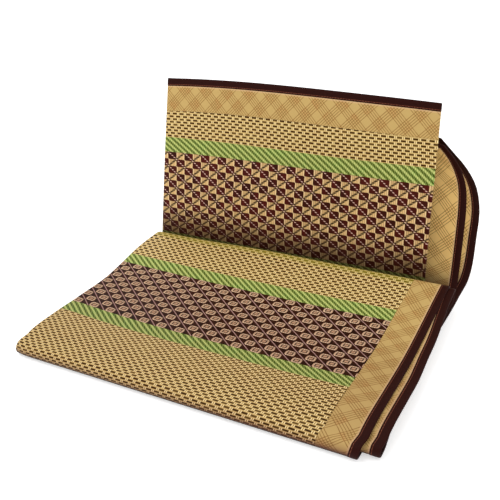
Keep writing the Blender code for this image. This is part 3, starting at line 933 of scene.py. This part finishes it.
borderLook = {
    "repeat": 39.8, "lineFrom": 10.1, "linePitch": 4.9, "lineWidth": 0.6, "breakSize": 5.0,
    "cloudSize": 14.0, "cloudShare": 0.5, "groupShare": 0.1, "rimEdge": (15.0, 12.8), "rimShare": 0.6,
    "ground": (190, 159, 98), "warm": (190, 142, 84), "line": (124, 88, 34), "rim": (216, 176, 134),
    # loop is painted light: a brighter, warmer colour laid over the border inside the rear loop, where it
    # stands in shade
    "loop": (255, 210, 130), "loopLightShare": 0.55, "loopRun": (1035.0, 1085.0), "loopEdge": (56.0, 50.0),
    "roughness": 0.55, "shine": 0.12, "depth": 0.0003, "relief": 0.4,
}


# One set of the border's crossed lines: how far into a line, and whether inside a group of lines
def lineGroup(place, look):
    offset = (place / look["repeat"] + 0.5).fromMiddle() * look["repeat"]
    group = offset.rise(look["lineFrom"] - 2.4, look["lineFrom"] - 1.2)
    near = ((offset - look["lineFrom"]) / look["linePitch"] + 0.5).fromMiddle() * look["linePitch"]
    return near.rise(look["lineWidth"] + 0.3, look["lineWidth"] - 0.3) * group, group


# Distance in mm from the nearer long side of the mat, and from its nearer end
def edgeWires(u, v):
    return u.lower((u - widthMm) * -1), v.lower((v - lengthMm) * -1)


def borderMaterial():
    look = borderLook
    material = newMaterial("border")
    first, second = placeOn(material, "weavePlace")
    u, v = placeOn(material, "clothPlace")
    lineOne, groupOne = lineGroup(first, look)
    lineTwo, groupTwo = lineGroup(second, look)
    cloud = cloudAt(u, v, look["cloudSize"])
    warm = groupOne * groupTwo * cloud.rise(0.4, 0.7) * look["cloudShare"]
    warm = warm + (groupOne + groupTwo) * look["groupShare"]
    colour = mix(warm, look["ground"], look["warm"])
    inEdge, inEnd = edgeWires(u, v)
    # Painted light on the border inside the rear loop
    loop = v.rise(*look["loopRun"]) * inEdge.rise(*look["loopEdge"])
    colour = mix(loop * look["loopLightShare"], colour, look["loop"])
    lines = lineOne.higher(lineTwo)
    broken = cloudAt(first, second, look["breakSize"]).rise(0.25, 0.6)
    colour = mix(lines * (broken * 0.3 + 0.6), colour, look["line"])
    rim = inEdge.lower(inEnd).rise(*look["rimEdge"])
    colour = mix(rim * look["rimShare"], colour, look["rim"])
    # The same painted shade, without the green tint at the crease
    colour = addShadeAndTint(colour, u, v, paintedShadeAndTint[1:])
    return finishShader(material, colour, lines * -1 + cloud * 0.5, look)


bindingLook = {"cloth": (34, 10, 6), "rib": (58, 20, 14), "line": (118, 62, 44), "ribPitch": 1.1,
               "ribEdge": (0.1, 0.4), "cloudSize": 1.5, "cloudAlong": 0.3, "lineIn": 9.6,
               "lineEdge": (0.5, 0.2), "lineShare": 0.6, "roughness": 0.5, "shine": 0.05, "depth": 0.0002,
               "relief": 0.5}


def bindingMaterial():
    look = bindingLook
    material = newMaterial("binding")
    u, v = placeOn(material, "clothPlace")
    inEdge, inEnd = edgeWires(u, v)
    depth = inEdge.lower(inEnd)
    along = inEdge.higher(inEnd)
    ribs = (depth / look["ribPitch"]).fromMiddle().rise(*look["ribEdge"])
    cloud = cloudAt(along * look["cloudAlong"], depth, look["cloudSize"])
    colour = mix(ribs * cloud, look["cloth"], look["rib"])
    line = (depth - look["lineIn"]).away().rise(*look["lineEdge"])
    colour = mix(line * look["lineShare"], colour, look["line"])
    return finishShader(material, colour, ribs, look)


# Lockstitches that hold the tape, on both faces of the mat, sizes in metres
stitching = {"length": 0.0027, "radius": 0.00024, "pitch": 0.0042, "inFromEdge": 0.0099, "sides": 6,
             "clear": 0.6, "thread": (150, 92, 66), "shade": (96, 52, 36), "twistScale": 900.0,
             "roughness": 0.6, "shine": 0.2, "depth": 0.0001, "relief": 0.6}


def stitchMaterial():
    material = newMaterial("stitches")
    tree = material.node_tree
    place = tree.nodes.new("ShaderNodeTexCoord")
    noise = tree.nodes.new("ShaderNodeTexNoise")
    setInputs(noise, {"Scale": stitching["twistScale"]})
    tree.links.new(place.outputs["Object"], noise.inputs["Vector"])
    twist = Wire(tree, noise.outputs["Fac"]).rise(0.35, 0.65)
    colour = mix(twist, stitching["shade"], stitching["thread"])
    return finishShader(material, colour, twist, stitching)


# Evenly spaced stitches along a seam, which is a list of grid places
def stitchesAlong(seam):
    found = []
    wanted = stitching["pitch"] / 2
    for (i, j), (nextI, nextJ) in zip(seam, seam[1:]):
        start, end = gridPoints[i][j], gridPoints[nextI][nextJ]
        gap = (end - start).length
        while wanted < gap:
            way = wanted / gap
            normal = normals[i][j].lerp(normals[nextI][nextJ], way).normalized()
            found.append((start.lerp(end, way), (end - start) / gap, normal))
            wanted += stitching["pitch"]
        wanted -= gap
    return found


def stitchPiece(name, seam, material):
    points, faces = [], []
    radius, sides = stitching["radius"], stitching["sides"]
    reach = stitching["length"] / 2
    lift = tapeHalf(stitching["inFromEdge"]) + radius * stitching["clear"]
    for centre, direction, normal in stitchesAlong(seam):
        aside = direction.cross(normal)
        for face in (1, -1):
            first = len(points)
            middle = centre + normal * face * lift
            points.append(middle - direction * reach)
            for end in (-1, 1):
                for k in range(sides):
                    angle = 2 * pi * k / sides
                    offset = aside * cos(angle) + normal * sin(angle)
                    points.append(middle + direction * end * (reach - radius) + offset * radius)
            points.append(middle + direction * reach)
            last = len(points) - 1
            for k in range(sides):
                here, after = first + 1 + k, first + 1 + (k + 1) % sides
                faces.append((first, here, after))
                faces.append((here, here + sides, after + sides, after))
                faces.append((last, after + sides, here + sides))
    piece = newPiece(name, points, faces, material)
    piece.data.shade_smooth()
    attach(piece, "root")
    print(name, len(faces), "faces")
    return piece


woven = fieldMaterial()
crossed = borderMaterial()
tape = bindingMaterial()
thread = stitchMaterial()
print("materials ready")

tapeLast = len(tapeSteps) - 1
sheetTable = [{"name": "field_cloth", "node": "Woven_field", "slot": "woven_field", "half": clothHalf,
               "pattern": weaveAt, "material": woven, "first": (fieldFirst, fieldFirst),
               "last": (lastColumn - fieldFirst, lastRow - fieldFirst)}]
strips = [
    {"name": "border_cloth_", "node": "Border_", "slot": "border", "half": clothHalf,
     "pattern": latticeAt, "material": crossed, "low": borderFrom, "high": borderLast,
     "inner": fieldFirst},
    {"name": "binding_tape_", "node": "Binding_", "slot": "binding", "half": tapeHalfAt,
     "pattern": weaveAt, "material": tape, "low": 0, "high": tapeLast, "inner": tapeLast},
]


# First and last place on the grid of the two lengths along the sides and the two across the ends
def stripPlaces(low, high, inner):
    farColumn, farRow = lastColumn - low, lastRow - low
    return {
        "edge_one": ((low, low), (high, farRow)),
        "edge_two": ((lastColumn - high, low), (farColumn, farRow)),
        "head": ((inner, lastRow - high), (lastColumn - inner, farRow)),
        "tucked_end": ((inner, low), (lastColumn - inner, high)),
    }


for strip in strips:
    for end, (first, last) in stripPlaces(strip["low"], strip["high"], strip["inner"]).items():
        named = {"name": strip["name"] + end, "node": strip["node"] + end, "first": first, "last": last}
        sheetTable.append({**strip, **named})

# The seam of each tape, as places on the grid
seamStep = tapeSteps.index(stitching["inFromEdge"])
seams = {}
for end, ((i, j), (lastI, lastJ)) in stripPlaces(seamStep, seamStep, seamStep).items():
    seams["binding_tape_" + end] = [(x, y) for x in range(i, lastI + 1) for y in range(j, lastJ + 1)]

for row in sheetTable:
    piece = sheetPiece(row)
    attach(piece, "root")
    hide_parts(row["node"])
    (i, j), (lastI, lastJ) = row["first"], row["last"]
    if row["name"] in seams:
        stitchName = row["name"].replace("binding_tape", "stitches")
        stitchPiece(stitchName, seams[row["name"]], thread)
    print(row["name"], len(piece.data.polygons), "faces")


studio = {
    "floorSize": 30.0, "floorColour": (0.82, 0.82, 0.82), "floorRoughness": 0.9, "floorGlow": 0.50,
    "worldStrength": 1.0,
    "keyEnergy": 17.0, "keySize": 1.6, "keyFrom": (-0.75, -0.4, 2.3), "keyAim": (0, 0, 0.05),
}


def makeStudio():
    material = newMaterial("floor")
    white = (1, 1, 1, 1)
    setInputs(material.node_tree.nodes["Principled BSDF"], {
        "Base Color": (*studio["floorColour"], 1), "Roughness": studio["floorRoughness"],
        "Emission Color": white, "Emission Strength": studio["floorGlow"]})
    size = studio["floorSize"]
    corners = [(-size, -size, 0), (size, -size, 0), (size, size, 0), (-size, size, 0)]
    floor = newPiece("floor", corners, [(0, 1, 2, 3)], material)
    world = bpy.data.worlds.new("studio")
    world.use_nodes = True
    background = world.node_tree.nodes["Background"]
    setInputs(background, {"Color": white, "Strength": studio["worldStrength"]})
    bpy.context.scene.world = world
    lamp = bpy.data.lights.new("key", "AREA")
    lamp.energy = studio["keyEnergy"]
    lamp.size = studio["keySize"]
    key = bpy.data.objects.new("key", lamp)
    key.location = studio["keyFrom"]
    key.rotation_euler = (Vector(studio["keyAim"]) - key.location).to_track_quat("-Z", "Y").to_euler()
    bpy.context.scene.collection.objects.link(key)


# Camera at the photograph's angle: turned round the mat, raised, rolled, and aimed at a point over it
view = {"turn": 29.709, "rise": 28.020, "roll": -3.506, "distance": 1.1072, "aim": (0, 0.2, 0.1143),
        "lens": 57.4, "sensor": 36.0}


def makeCamera():
    turn, rise, roll = (radians(view[key]) for key in ("turn", "rise", "roll"))
    forward = Vector((-sin(turn) * cos(rise), cos(turn) * cos(rise), -sin(rise)))
    level = Vector((cos(turn), sin(turn), 0))
    up = level.cross(forward)
    right = level * cos(roll) + up * sin(roll)
    top = up * cos(roll) - level * sin(roll)
    data = bpy.data.cameras.new("camera")
    data.lens = view["lens"]
    data.sensor_width = view["sensor"]
    camera = bpy.data.objects.new("camera", data)
    place = Vector(view["aim"]) + matShift - forward * view["distance"]
    turned = Matrix((right, top, -forward)).transposed().to_4x4()
    camera.matrix_world = Matrix.Translation(place) @ turned
    bpy.context.scene.collection.objects.link(camera)
    bpy.context.scene.camera = camera


makeStudio()
makeCamera()
bpy.context.scene.view_settings.view_transform = "Standard"
print("studio and camera ready")
